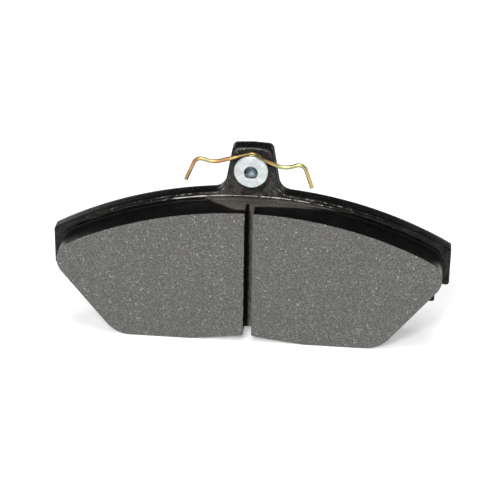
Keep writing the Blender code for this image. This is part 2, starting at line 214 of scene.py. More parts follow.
def lattice_value(i, j, seed):
    """A fixed random number from 0 to 1 for each lattice point: the broken part of a large sine.

    The three rates and the sine's size have no common measure, so nearby points look unrelated.
    """
    i_rate, j_rate, seed_rate, size = 127.1, 311.7, 74.7, 43758.5453
    raw = np.sin(i * i_rate + j * j_rate + seed * seed_rate) * size
    return raw - np.floor(raw)


def value_noise(x, z, size, seed=0):
    """Smooth noise from -1 to 1: lattice values blended by the curve 3t^2 - 2t^3 on cells of a size."""
    i = np.floor(x / size)
    j = np.floor(z / size)
    u = x / size - i
    v = z / size - j
    u = u * u * (3 - 2 * u)
    v = v * v * (3 - 2 * v)
    low = lattice_value(i, j, seed) * (1 - u) + lattice_value(i + 1, j, seed) * u
    high = lattice_value(i, j + 1, seed) * (1 - u) + lattice_value(i + 1, j + 1, seed) * u
    return 2 * (low * (1 - v) + high * v) - 1


def line_noise(along, size, seed):
    """Value noise along a line: one row of its lattice."""
    return value_noise(along, along * 0, size, seed)


def rounded_path(corners, arc_steps=24):
    """Points (x, z) along straight runs whose corners (x, z, radius) are rounded by arcs.

    At a corner with opening angle a, the arc touches both runs at radius / tan(a / 2) from it,
    and takes at most half of a run that it shares with another arc.
    """
    nearly_straight = math.radians(179)
    shared_run, own_run = 0.49, 0.98
    places = np.array([corner[:2] for corner in corners])
    points = [places[0][None]]
    for index in range(1, len(corners) - 1):
        here = places[index]
        back = places[index - 1] - here
        ahead = places[index + 1] - here
        back_length = np.hypot(*back)
        ahead_length = np.hypot(*ahead)
        back = back / back_length
        ahead = ahead / ahead_length
        opening = math.acos(np.clip(back @ ahead, -1, 1))
        if corners[index][2] == 0 or opening > nearly_straight:
            points.append(here[None])
            continue
        reach = corners[index][2] / math.tan(opening / 2)
        reach = min(reach, (shared_run if corners[index - 1][2] > 0 else own_run) * back_length)
        reach = min(reach, (shared_run if corners[index + 1][2] > 0 else own_run) * ahead_length)
        radius = reach * math.tan(opening / 2)
        bisector = (back + ahead) / np.hypot(*(back + ahead))
        centre = here + bisector * radius / math.sin(opening / 2)
        first = here + back * reach - centre
        last = here + ahead * reach - centre
        start = math.atan2(first[1], first[0])
        turn = math.atan2(first[0] * last[1] - first[1] * last[0], first @ last)
        angle = start + turn * np.linspace(0, 1, arc_steps)
        points.append(centre + radius * np.stack([np.cos(angle), np.sin(angle)], 1))
    points.append(places[-1][None])
    return np.concatenate(points)


def top_arc(radius, top, start_x, end_x, steps=40):
    """Corners along the circle whose highest point is (0, top)."""
    x = np.linspace(start_x, end_x, steps)
    z = top - radius + np.sqrt(radius**2 - x**2)
    return [(a, b, 0) for a, b in zip(x, z)]


def lower_edge():
    """Corners of the lower edge's right half: a shallow arch in the middle, then flat."""
    return [(0, ARCH_HEIGHT, 0), (ARCH_HALF_SPAN, 0, ARCH_FILLET)]


def measured(path):
    """The path without repeated points, and each point's distance along it."""
    steps = np.linalg.norm(np.diff(path, axis=0), axis=1)
    path = path[np.concatenate([[True], steps > SAME_POINT])]
    return path, np.concatenate([[0], np.cumsum(np.linalg.norm(np.diff(path, axis=0), axis=1))])


def resampled(path, along, wanted):
    """Points of a measured path at the wanted distances along it."""
    return np.stack([np.interp(wanted, along, column) for column in path.T], 1)


def closed_loop(half, count):
    """A closed outline from its right half, resampled to equal steps, anticlockwise."""
    path, along = measured(np.concatenate([half, (half[::-1] * [-1, 1])[1:]]))
    return resampled(path, along, np.linspace(0, along[-1], count, endpoint=False))


def way_round(loop):
    """A distance round a closed outline for noise to follow: even steps over a fixed length."""
    return np.linspace(0, 1, len(loop), endpoint=False) * OUTLINE_WALK


def lining_half(margin):
    """Right half of the block's outline, grown by a margin at its sides and top.

    The shoulder corner is where the side x = foot + z tan(slant) meets the top circle.
    """
    foot = FOOT + margin / math.cos(SLANT)
    radius = TOP_RADIUS + margin
    top = BLOCK_TOP + margin
    slope = math.tan(SLANT)
    centre = top - radius
    a = 1 + slope**2
    b = foot * slope - centre
    c = foot**2 + centre**2 - radius**2
    z = (-b + math.sqrt(b**2 - a * c)) / a
    x = foot + slope * z
    corners = lower_edge()
    corners.append((foot, 0, FOOT_FILLET))
    corners.append((x, z, SHOULDER_FILLET + margin))
    corners += top_arc(radius, top, ARC_SHARE * x, 0)
    return rounded_path(corners)


def tab_half_width(z):
    """Half the tab's width at height z."""
    return TAB_TOP_HALF_WIDTH + (TAB_TOP - z) * math.tan(TAB_FLARE)


def plate_half():
    """Right half of the plate's outline: lower edge, slanted side, stepped ear, shoulder, tab."""
    slope = math.tan(SLANT)
    foot = FOOT + PLATE_MARGIN_SIDE / math.cos(SLANT)
    radius = TOP_RADIUS + PLATE_MARGIN_ABOVE
    top = BLOCK_TOP + PLATE_MARGIN_ABOVE
    ear_top = top - radius + math.sqrt(radius**2 - HALF_LENGTH**2)
    arc_end = tab_half_width(top) + TAB_ROOT_REACH
    ledge = STEP_BOTTOM + LEDGE_RISE
    corners = lower_edge()
    corners.append((foot, 0, FOOT_FILLET))
    corners.append((foot + slope * ledge, ledge, CORNER_FILLET))
    corners.append((STEP_HALF_LENGTH, STEP_BOTTOM, CORNER_FILLET))
    corners.append((STEP_HALF_LENGTH, EAR_BOTTOM + LEDGE_RISE, CORNER_FILLET))
    corners.append((HALF_LENGTH, EAR_BOTTOM, CORNER_FILLET))
    corners.append((HALF_LENGTH, ear_top, CORNER_FILLET))
    corners += top_arc(radius, top, HALF_LENGTH - EAR_FLAT, arc_end)
    root = corners[-1][1] + TAB_ROOT_REACH * arc_end / radius
    corners.append((tab_half_width(root), root, TAB_ROOT_FILLET))
    corners.append((TAB_TOP_HALF_WIDTH, TAB_TOP - TAB_CROWN, TAB_TOP_FILLET))
    corners.append((0, TAB_TOP, 0))
    return rounded_path(corners)


def outward(loop):
    """Unit normals of an anticlockwise loop, from the chord between each point's neighbours."""
    chord = np.roll(loop, -1, 0) - np.roll(loop, 1, 0)
    normal = np.stack([chord[:, 1], -chord[:, 0]], 1)
    return normal / np.hypot(*normal.T)[:, None]


def convexity(loop, spread):
    """How sharply the outline turns outwards at each point, from 0 to 1, smoothed along it.

    It is the cross product of neighbouring chords, averaged over a window of points.
    """
    before = loop - np.roll(loop, spread, 0)
    after = np.roll(loop, -spread, 0) - loop
    turn = before[:, 0] * after[:, 1] - before[:, 1] * after[:, 0]
    turn = turn / (np.hypot(*before.T) * np.hypot(*after.T) + 1e-12)
    window = np.ones(2 * spread + 1) / (2 * spread + 1)
    padded = np.concatenate([turn[-spread:], turn, turn[:spread]])
    return np.clip(np.convolve(padded, window, "valid"), 0, 1)


# ---------------------------------------------------------------- mesh making

def mesh_object(name, points, faces, materials, smooth_below=35, recalculate=True):
    """A mesh piece with its doubles merged and only edges above an angle sharp.

    recalculate turns the normals of a closed shell outwards.
    """
    mesh = bpy.data.meshes.new(name)
    mesh.from_pydata(points.reshape(-1, 3), [], faces)
    shell = bmesh.new()
    shell.from_mesh(mesh)
    bmesh.ops.remove_doubles(shell, verts=shell.verts, dist=SAME_POINT)
    if recalculate:
        bmesh.ops.recalc_face_normals(shell, faces=shell.faces)
    shell.to_mesh(mesh)
    shell.free()
    mesh.shade_smooth()
    mesh.set_sharp_from_angle(angle=math.radians(smooth_below))
    for material in materials:
        mesh.materials.append(material)
    item = bpy.data.objects.new(name, mesh)
    bpy.context.scene.collection.objects.link(item)
    return item


def loop_faces(rows, columns):
    """Quads between closed loops of points stacked in rows, with an n-gon over each end."""
    row, column = np.meshgrid(np.arange(rows - 1), np.arange(columns), indexing="ij")
    after = (column + 1) % columns
    quads = np.stack([row * columns + column, row * columns + after,
                      (row + 1) * columns + after, (row + 1) * columns + column], -1)
    faces = quads.reshape(-1, 4).tolist()
    faces.append(list(range(columns))[::-1])
    faces.append(list(range((rows - 1) * columns, rows * columns)))
    return faces


def slab(name, loop, profile, materials, front_rings=None, inset_scale=None):
    """A solid whose outline is inset along a profile of (inset, y) rows, from front to back.

    front_rings are extra rows (K, N, 3) inside the front edge. inset_scale stretches the inset
    of each point of the outline, as a rolled edge grows at a corner.
    """
    normal = outward(loop)
    scale = np.ones(len(loop)) if inset_scale is None else inset_scale
    rows = []
    for inset, y in profile:
        flat = loop - normal * (inset * scale)[:, None]
        rows.append(np.stack([flat[:, 0], np.full(len(loop), y), flat[:, 1]], 1))
    rows = np.array(rows)
    if front_rings is not None:
        rows = np.concatenate([front_rings, rows])
    return mesh_object(name, rows, loop_faces(len(rows), len(loop)), materials)


def quarter_round(inset, depth, start_y, direction, steps=6):
    """Profile rows for a rounded edge: a quarter ellipse from the flat face to the wall."""
    angle = np.linspace(0, math.pi / 2, steps)
    return [(inset * (1 - math.sin(a)), start_y + direction * depth * (1 - math.cos(a))) for a in angle]


def turned(name, profile, centre_z, materials, sides=96, wobble=None):
    """A piece turned about Y through (0, centre_z) from rows of (radius, y)."""
    angle = np.linspace(0, 2 * math.pi, sides, endpoint=False)
    radius, y = np.array(profile).T
    ring = radius[:, None] * np.ones(sides)
    depth = y[:, None] * np.ones(sides)
    if wobble is not None:
        ring, depth = wobble(ring, depth, angle[None])
    x = ring * np.cos(angle)
    z = centre_z + ring * np.sin(angle)
    points = np.stack([x, depth, z], -1)
    return mesh_object(name, points, loop_faces(len(profile), sides), materials)


def tube(name, path, radius, materials, sides=20):
    """A round wire: a circle carried along the path, with one side of its frame square to Y.

    Near each end the circle shrinks along a quarter circle, so that the cut end has a soft edge.
    """
    steps = np.diff(path, axis=0)
    along = np.concatenate([[0], np.cumsum(np.linalg.norm(steps, axis=1))])
    tangent = np.gradient(path, along, axis=0)
    tangent /= np.linalg.norm(tangent, axis=1)[:, None]
    side = np.cross(tangent, [0, 1, 0])
    side /= np.linalg.norm(side, axis=1)[:, None]
    other = np.cross(side, tangent)
    angle = np.linspace(0, 2 * math.pi, sides, endpoint=False)
    reach = radius * WIRE_CUT_EDGE
    from_end = np.minimum(along, along[-1] - along)
    soft = 1 - np.sqrt(np.clip(1 - (1 - np.clip(from_end / reach, 0, 1))**2, 0, 1))
    size = radius - reach * soft
    circle = np.cos(angle)[None, :, None] * side[:, None] + np.sin(angle)[None, :, None] * other[:, None]
    points = path[:, None] + size[:, None, None] * circle
    return mesh_object(name, points, loop_faces(len(path), sides), materials, smooth_below=50)


def boolean(item, other, operation):
    """Cut or join a closed mesh at once and remove the other object."""
    step = item.modifiers.new("join", "BOOLEAN")
    step.operation = operation
    step.object = other
    step.solver = "MANIFOLD"
    graph = bpy.context.evaluated_depsgraph_get()
    mesh = bpy.data.meshes.new_from_object(item.evaluated_get(graph))
    item.modifiers.clear()
    item.data = mesh
    bpy.data.objects.remove(other)
    mesh.shade_smooth()
    mesh.set_sharp_from_angle(angle=math.radians(35))


# ---------------------------------------------------------------- materials

class Recipe:
    """A Principled material whose node tree is built by short calls."""

    def __init__(self, name, base, roughness, metallic=0.0):
        self.material = bpy.data.materials.new(name)
        self.material.use_nodes = True
        self.tree = self.material.node_tree
        self.shader = self.tree.nodes["Principled BSDF"]
        self.shader.inputs["Base Color"].default_value = (*base, 1)
        self.shader.inputs["Roughness"].default_value = roughness
        self.shader.inputs["Metallic"].default_value = metallic
        self.place = self.node("ShaderNodeTexCoord").outputs["Object"]

    def node(self, kind, **settings):
        """A new node with the given properties."""
        made = self.tree.nodes.new(kind)
        for key, value in settings.items():
            setattr(made, key, value)
        return made

    def feed(self, socket, value):
        """Link an output to a socket, or set the socket's own value."""
        if isinstance(value, bpy.types.NodeSocket):
            self.tree.links.new(value, socket)
        else:
            socket.default_value = value

    def noise(self, size, detail=3, roughness=0.55, stretch=(1, 1, 1)):
        """Noise whose features are about size metres wide."""
        mapping = self.node("ShaderNodeMapping")
        self.feed(mapping.inputs["Vector"], self.place)
        mapping.inputs["Scale"].default_value = stretch
        made = self.node("ShaderNodeTexNoise")
        self.feed(made.inputs["Vector"], mapping.outputs["Vector"])
        made.inputs["Scale"].default_value = 1 / size
        made.inputs["Detail"].default_value = detail
        made.inputs["Roughness"].default_value = roughness
        return made.outputs["Fac"]

    def step(self, value, low, high, bottom=0.0, top=1.0):
        """A value carried from low..high to bottom..top, held at both ends."""
        made = self.node("ShaderNodeMapRange", interpolation_type="SMOOTHSTEP")
        self.feed(made.inputs["Value"], value)
        for socket, number in (("From Min", low), ("From Max", high), ("To Min", bottom), ("To Max", top)):
            made.inputs[socket].default_value = number
        return made.outputs["Result"]

    def math(self, operation, first, second=0.0):
        """One arithmetic step."""
        made = self.node("ShaderNodeMath", operation=operation)
        self.feed(made.inputs[0], first)
        self.feed(made.inputs[1], second)
        return made.outputs["Value"]

    def axes(self):
        """The X, Y and Z coordinates as three outputs."""
        made = self.node("ShaderNodeSeparateXYZ")
        self.feed(made.inputs["Vector"], self.place)
        return made.outputs

    def upward(self):
        """How far the surface faces up: the Z part of its normal."""
        made = self.node("ShaderNodeSeparateXYZ")
        self.feed(made.inputs["Vector"], self.node("ShaderNodeNewGeometry").outputs["Normal"])
        return made.outputs["Z"]

    def mix(self, share, first, second):
        """A colour between two colours."""
        made = self.node("ShaderNodeMix", data_type="RGBA")
        self.feed(made.inputs["Factor"], share)
        for socket, colour in ((made.inputs[6], first), (made.inputs[7], second)):
            self.feed(socket, (*colour, 1) if isinstance(colour, tuple) else colour)
        return made.outputs[2]

    def colour(self, value):
        """Set the colour all over the surface."""
        self.feed(self.shader.inputs["Base Color"], value)

    def roughness(self, value):
        """Set the roughness all over the surface."""
        self.feed(self.shader.inputs["Roughness"], value)

    def bump(self, height, distance, strength=1.0):
        """Bump of the given real height in metres, stacked on any bump before it."""
        made = self.node("ShaderNodeBump")
        made.inputs["Strength"].default_value = strength
        made.inputs["Distance"].default_value = distance
        self.feed(made.inputs["Height"], height)
        normal = self.shader.inputs["Normal"]
        if normal.is_linked:
            self.feed(made.inputs["Normal"], normal.links[0].from_socket)
        self.feed(normal, made.outputs["Normal"])


def friction_compound():
    """Ground face of the moulded compound: grey matrix with pale, dark, brassy and rusty grains.

    Each kind of grain is the tail of a noise of its own size, so that no two have one shape.
    """
    r = Recipe("friction_compound", (0.14, 0.14, 0.135), 0.9)
    r.shader.inputs["Specular IOR Level"].default_value = 0.25
    fine = r.noise(0.62 * MM, 4, 0.8)
    broad = r.noise(8 * MM, 3, 0.6, (2.2, 1.0, 0.35))
    base = r.mix(r.step(fine, 0.36, 0.64), MATRIX_DARK, MATRIX_PALE)
    base = r.mix(r.step(broad, 0.35, 0.65, 0.0, 0.35), base, MATRIX_CLOUD)
    tint = r.noise(1.7 * MM, 3, 0.6)
    base = r.mix(r.step(tint, 0.56, 0.72, 0.0, 0.26), base, WARM_TINT)
    base = r.mix(r.step(tint, 0.28, 0.42, 0.22, 0.0), base, GREEN_TINT)
    dark = r.step(r.noise(0.85 * MM, 3, 0.6, (1.2, 1.0, 0.9)), 0.335, 0.375, 0.5, 0.0)
    base = r.mix(dark, base, DARK_GRAIN)
    pale = r.step(r.noise(0.80 * MM, 2, 0.6, (0.8, 1.0, 1.3)), 0.640, 0.680, 0.0, 0.70)
    base = r.mix(pale, base, PALE_GRAIN)
    flakes = r.step(r.noise(1.25 * MM, 2, 0.6, (1.4, 1.0, 0.8)), 0.715, 0.735, 0.0, 0.85)
    base = r.mix(flakes, base, WHITE_FLAKE)
    brass = r.step(r.noise(1.5 * MM, 2, 0.6, (1.0, 0.9, 1.4)), 0.735, 0.755, 0.0, 0.75)
    base = r.mix(brass, base, BRASS_FLAKE)
    rust = r.step(r.noise(1.4 * MM, 2, 0.6, (1.3, 1.1, 1.0)), 0.245, 0.265, 0.6, 0.0)
    base = r.mix(rust, base, RUST_GRAIN)
    r.colour(base)
    r.bump(fine, 0.06 * MM, 0.7)
    r.bump(dark, 0.05 * MM, 0.5)
    return r.material


def painted_compound():
    """The moulded walls: black paint that misses the compound round the slot, with soft overspray.

    The paint covers a share of the wall's depth from the face. Left of the slot that share stays at
    left_share as far as left_start and then grows fast along a straight line. Right of the slot it
    starts at right_share and grows slowly.
    """
    left_share, left_growth, left_start = 0.32, 0.081 / MM, 4 * MM
    right_share, right_growth = 0.60, 0.02 / MM
    overspray = 0.06
    r = Recipe("painted_compound", (0.004, 0.004, 0.004), 0.32)
    r.shader.inputs["Specular IOR Level"].default_value = 0.35
    r.shader.inputs["Specular Tint"].default_value = (0.55, 0.55, 0.55, 1)
    patch = r.noise(5 * MM, 4, 0.65)
    fine = r.noise(0.9 * MM, 4, 0.7)
    x, y, z = r.axes()
    share = r.math("DIVIDE", r.math("SUBTRACT", y, FACE_Y), UNDERLAYER_FRONT - FACE_Y)
    waver = r.math("MULTIPLY", r.math("SUBTRACT", patch, 0.5), 6 * MM)
    place = r.math("ADD", x, waver)
    left = r.math("SUBTRACT", left_share, r.math("MULTIPLY", r.math("ADD", place, left_start), left_growth))
    right = r.math("ADD", right_share, r.math("MULTIPLY", place, right_growth))
    right = r.math("MULTIPLY", right, r.step(x, -0.5 * MM, 0.8 * MM))
    level = r.math("MAXIMUM", r.math("MAXIMUM", left, left_share), right)
    bare = r.step(r.math("SUBTRACT", share, level), -overspray, overspray)
    bare = r.math("MULTIPLY", bare, r.step(z, 0.8 * BLOCK_TOP, 0.9 * BLOCK_TOP))
    paint = r.mix(r.step(patch, 0.42, 0.70), BLOCK_PAINT, BLOCK_PAINT_WARM)
    dust = r.mix(r.step(fine, 0.3, 0.7), BLOCK_DUST_DARK, BLOCK_DUST_PALE)
    base = r.mix(bare, paint, dust)
    speck = r.step(r.noise(1.9 * MM, 3, 0.65), 0.69, 0.72, 0.0, 0.6)
    base = r.mix(speck, base, BLOCK_SPECK)
    r.colour(base)
    r.roughness(r.step(bare, 0.0, 1.0, 0.30, 0.75))
    r.bump(fine, 0.06 * MM, 0.5)
    r.bump(patch, 0.2 * MM, 0.3)
    return r.material


def slot_compound():
    """Bare compound in the slot: brownish grey with drag marks, and a painted shadow in black over its left
    side.
    """
    r = Recipe("slot_compound", (0.12, 0.11, 0.10), 0.9)
    r.shader.inputs["Specular IOR Level"].default_value = 0.2
    fine = r.noise(0.9 * MM, 4, 0.7, (1.0, 1.0, 0.35))
    bare = r.mix(r.step(fine, 0.3, 0.7), SLOT_DARK, SLOT_PALE)
    x = r.axes()["X"]
    # painted shadow: black over the slot's left wall and the left part of its floor, where shadow falls
    waver = r.math("MULTIPLY", r.math("SUBTRACT", r.noise(2.2 * MM, 3), 0.5), 0.9 * MM)
    clear = r.step(r.math("ADD", x, waver), -0.70 * MM, 0.35 * MM)
    r.colour(r.mix(clear, SLOT_PAINTED_SHADOW, bare))
    r.bump(fine, 0.08 * MM, 0.8)
    return r.material


def black_paint():
    """Semi-gloss black paint on stamped steel: clean on top, dusty in front, and pale along the roll from
    wear and a painted highlight.

    Each mark keeps to its own band of depth behind the plate's front: the pale edge of wear and painted
    highlight just behind it, then the pale top front edge of the tab, paint rubbing and painted highlight,
    then the walls, which are rougher unless they face up.
    """
    r = Recipe("black_paint", (0.004, 0.004, 0.004), 0.3)
    r.shader.inputs["Specular IOR Level"].default_value = 0.3
    r.shader.inputs["Specular Tint"].default_value = (0.25, 0.25, 0.25, 1)
    patch = r.noise(5 * MM, 4, 0.7)
    fine = r.noise(0.9 * MM, 4, 0.7)
    x, y, z = r.axes()
    front = r.step(y, PLATE_FRONT + 0.02 * MM, PLATE_FRONT + 0.25 * MM, 1.0, 0.0)
    across = r.math("ABSOLUTE", x)
    middle = r.math("MULTIPLY", r.step(across, 9 * MM, 24 * MM, 1.0, 0.30),
                    r.step(z, 52 * MM, 60 * MM, 1.0, 0.45))
    dusty = r.math("MULTIPLY", r.math("MULTIPLY", front, middle), r.step(patch, 0.38, 0.62, 0.35, 1.0))
    dust = r.mix(r.step(fine, 0.32, 0.68), PLATE_DUST_DARK, PLATE_DUST_PALE)
    base = r.mix(dusty, r.mix(r.step(patch, 0.45, 0.65), PLATE_PAINT, PLATE_PAINT_WARM), dust)
    speck = r.step(r.noise(1.6 * MM, 3, 0.65), 0.66, 0.69, 0.0, 0.7)
    base = r.mix(r.math("MULTIPLY", speck, r.step(front, 0.0, 1.0, 0.12, 1.0)), base, PLATE_SPECK)
    edge = r.step(y, PLATE_FRONT + 0.01 * MM, PLATE_FRONT + 0.16 * MM, 1.0, 0.0)
    roll = r.step(y, PLATE_FRONT + 0.002 * MM, PLATE_FRONT + 0.02 * MM)
    broken = r.step(r.noise(1.5 * MM, 5, 0.75), 0.49, 0.60)
    high = r.step(z, 40 * MM, 48 * MM, 0.1, 1.0)
    side = r.math("MULTIPLY", r.step(across, 4.6 * MM, 6.0 * MM), r.step(z, 50 * MM, 53 * MM))
    high = r.math("SUBTRACT", high, side)
    # painted highlight: the pale band along the rolled front edge is partly bare steel from wear and partly
    # a highlight painted in
    wear_and_highlight = r.math("MULTIPLY", r.math("MULTIPLY", edge, roll), r.math("MULTIPLY", broken, high))
    base = r.mix(r.step(wear_and_highlight, 0.0, 1.0), base, PLATE_WEAR_AND_HIGHLIGHT)
    # painted highlight: the pale line along the tab's top front edge is partly paint rubbing and partly a
    # highlight painted in
    rub_and_highlight_breaks = r.step(r.noise(2.4 * MM, 5, 0.75), 0.38, 0.60, 0.10, 0.85)
    crest_rub_and_highlight = r.math("MULTIPLY", r.step(y, PLATE_FRONT + 0.02 * MM, PLATE_FRONT + 0.06 * MM),
                   r.step(y, PLATE_FRONT + 0.10 * MM, PLATE_FRONT + 0.22 * MM, 1.0, 0.0))
    crest_rub_and_highlight = r.math("MULTIPLY", crest_rub_and_highlight, r.step(z, TAB_TOP - 4.5 * MM, TAB_TOP - 3.2 * MM))
    crest_rub_and_highlight = r.math("MULTIPLY", crest_rub_and_highlight, r.step(across, 4.6 * MM, 6.0 * MM, 1.0, 0.12))
    base = r.mix(r.math("MULTIPLY", crest_rub_and_highlight, rub_and_highlight_breaks), base, TAB_RUB_AND_HIGHLIGHT)
    r.colour(base)
    wall = r.math("MULTIPLY", r.step(y, PLATE_FRONT + 0.3 * MM, PLATE_FRONT + 0.7 * MM),
                  r.step(y, PLATE_BACK - 0.5 * MM, PLATE_BACK - 0.2 * MM, 0.72, 0.0))
    wall = r.math("MULTIPLY", wall, r.step(r.upward(), 0.45, 0.85, 1.0, 0.28))
    sheen = r.math("ADD", r.step(dusty, 0.0, 1.0, 0.24, 0.56), r.step(patch, 0.35, 0.65, 0.0, 0.07))
    r.roughness(r.math("MAXIMUM", sheen, wall))
    r.bump(fine, 0.03 * MM, 0.4)
    r.bump(patch, 0.12 * MM, 0.3)
    return r.material


def bond_resin():
    """The adhesive line between the lining and the plate: black, with pale broken stretches on top."""
    r = Recipe("bond_resin", (0.3, 0.29, 0.27), 0.45)
    away = r.math("ABSOLUTE", r.math("ADD", r.axes()["X"], 2 * MM))
    chance = r.step(away, 14 * MM, 34 * MM, 0.13, -0.14)
    broken = r.step(r.math("ADD", r.noise(2.6 * MM, 5, 0.7), chance), 0.50, 0.60)
    r.colour(r.mix(broken, RESIN_BLACK, RESIN_PALE))
    r.bump(r.noise(0.8 * MM, 3), 0.08 * MM, 0.7)
    return r.material


def zinc_plate():
    """Bright zinc on the pressed flange: cool silver with cloudy patches, scuffs and small pits.

    The bore, within its own radius and behind the lip, has painted shade: a darker blue-grey, paler on its
    floor, and painted light low on its wall, where light falls.
    """
    r = Recipe("zinc_plate", (0.62, 0.68, 0.69), 0.42, 1.0)
    cloud = r.noise(2.6 * MM, 4, 0.65)
    fine = r.noise(0.5 * MM, 4, 0.7)
    base = r.mix(r.step(cloud, 0.35, 0.68), ZINC_GREY, ZINC_BLUE)
    base = r.mix(r.step(fine, 0.58, 0.70, 0.0, 0.30), base, ZINC_SCUFF)
    base = r.mix(r.step(r.noise(1.5 * MM, 2), 0.24, 0.28, 0.8, 0.0), base, ZINC_PIT)
    x, y, z = r.axes()
    up = r.math("SUBTRACT", z, RIVET_HEIGHT)
    away = r.math("SQRT", r.math("ADD", r.math("MULTIPLY", x, x), r.math("MULTIPLY", up, up)))
    # painted shade in the bore, with a painted pool of light low on its wall
    inside = r.math("MULTIPLY", r.step(away, BORE_RADIUS + 0.02 * MM, BORE_RADIUS + 0.12 * MM, 1.0, 0.0),
                    r.step(y, RIVET_FRONT + 0.25 * MM, RIVET_FRONT + 0.7 * MM))
    floor = r.step(away, 1.5 * MM, 2.05 * MM, 1.0, 0.0)
    bore = r.mix(floor, BORE_WALL_SHADE, BORE_FLOOR_SHADE)
    lit = r.step(up, -1.9 * MM, -0.9 * MM, 1.0, 0.0)
    bore = r.mix(lit, bore, BORE_LIT)
    base = r.mix(r.math("MULTIPLY", inside, 0.92), base, bore)
    r.colour(base)
    r.roughness(r.math("ADD", r.step(r.noise(0.9 * MM, 3), 0.3, 0.7, 0.34, 0.54),
                       r.math("MULTIPLY", inside, 0.2)))
    r.bump(r.noise(0.5 * MM, 3, 0.6, (1, 1, 0.35)), 0.02 * MM, 0.6)
    r.bump(cloud, 0.06 * MM, 0.5)
    return r.material


def yellow_zinc():
    """Yellow passivated spring wire: gold that drifts to pink-brown and green, with painted shade darkening
    it by the coil.
    """
    r = Recipe("yellow_zinc", (0.52, 0.36, 0.14), 0.36, 1.0)
    x = r.axes()["X"]
    drift = r.math("ADD", r.noise(6 * MM, 2), r.step(x, -3 * MM, 5 * MM, -0.05, 0.07))
    base = r.mix(r.step(drift, 0.38, 0.52), WIRE_PINK, WIRE_GOLD)
    base = r.mix(r.step(drift, 0.58, 0.68), base, WIRE_GREEN)
    streak = r.noise(1.3 * MM, 3, 0.6)
    base = r.mix(r.step(streak, 0.58, 0.70, 0.0, 0.35), base, WIRE_STREAK)
    # painted shade: the wire's colour is darkened near the coil
    coil = r.step(r.math("ABSOLUTE", x), 3.0 * MM, 6.0 * MM, 0.75, 0.0)
    base = r.mix(coil, base, WIRE_SHADED)
    r.colour(base)
    r.roughness(r.step(streak, 0.3, 0.7, 0.30, 0.46))
    r.bump(streak, 0.01 * MM, 0.3)
    return r.material


def pale_finish(name, glow):
    """A plain matt finish, nearly white, with a little glow of its own as a light table has."""
    r = Recipe(name, (0.86, 0.86, 0.86), 0.9)
    r.shader.inputs["Specular IOR Level"].default_value = 0.1
    r.shader.inputs["Emission Color"].default_value = (1, 1, 1, 1)
    r.shader.inputs["Emission Strength"].default_value = glow
    return r.material


# ---------------------------------------------------------------- pieces

def face_rings(loop, inset, rings, y):
    """Rows inside the friction face's edge, drawn in towards a straight spine.

    Each row lies at its own share of the way from the spine to the outline's inset loop, and the
    ground surface has a shallow grain of fine and coarse noise that fades at the spine.
    """
    edge = loop - outward(loop) * inset[:, None]
    middle = edge[:, 1].max() / 2
    reach = SPINE_SHARE * edge[:, 0].max()
    spine = np.stack([np.clip(edge[:, 0], -reach, reach), np.full(len(edge), middle)], 1)
    share = np.linspace(SPINE_GAP, 1, rings, endpoint=False)[:, None, None]
    flat = spine + (edge - spine) * share
    fine_height, coarse_height, faded_share = 0.012, 0.015, 0.05
    grain = value_noise(flat[..., 0], flat[..., 1], 0.6 * MM, 3) * fine_height * MM
    grain += value_noise(flat[..., 0], flat[..., 1], 1.7 * MM, 5) * coarse_height * MM
    depth = y + FACE_RECESS + grain * np.minimum(1, share[..., 0] / faded_share)
    return np.stack([flat[..., 0], depth, flat[..., 1]], -1)


def slot_cutter(material):
    """The slot as a solid, open beyond the face and both ends.

    Its half width is the slot's own, plus a small round at the face's edge, plus a flare that
    follows a quarter ellipse near the lower edge, plus a little noise. Its floor has rounded
    corners and sinks evenly towards the top.
    """
    beyond = 2 * MM
    flare_share = 0.8
    z = np.concatenate([np.linspace(-beyond, ARCH_HEIGHT + beyond, 40),
                        np.linspace(ARCH_HEIGHT + 1.1 * beyond, BLOCK_TOP + beyond, 220)])
    lift = np.clip((ARCH_HEIGHT + SLOT_FLARE - z) / SLOT_FLARE, 0, 1)
    flare = SLOT_FLARE * (1 - np.sqrt(1 - lift**2)) * flare_share
    side = 0.07 * MM * line_noise(z, 1.1 * MM, 8) + 0.06 * MM * line_noise(z, 0.5 * MM, 4)
    sink = SLOT_SINK * np.clip(z / BLOCK_TOP, 0, 1)
    angle = np.linspace(0, math.pi / 2, 6)
    rows = [(SLOT_EDGE, -1.0 * MM), (SLOT_EDGE, 0.0)]
    rows += [(SLOT_EDGE * (1 - math.sin(a)), SLOT_EDGE * (1 - math.cos(a))) for a in angle[1:]]
    rows += [(-SLOT_CORNER * (1 - math.cos(a)), SLOT_DEPTH - SLOT_CORNER + SLOT_CORNER * math.sin(a))
             for a in angle]
    widen, deep = np.array(rows).T
    half = SLOT_HALF_WIDTH + widen
    x = np.concatenate([-half, half[::-1]])
    y = FACE_Y + np.concatenate([deep, deep[::-1]])
    grow = (flare + side)[:, None] * np.sign(x)[None]
    floor = np.clip((y - FACE_Y) / SLOT_DEPTH, 0, 1)
    points = np.stack([x[None] + grow, y[None] + sink[:, None] * floor[None], z[:, None] + 0 * grow], -1)
    return mesh_object("slot_cutter", points, loop_faces(len(z), len(x)), [material])


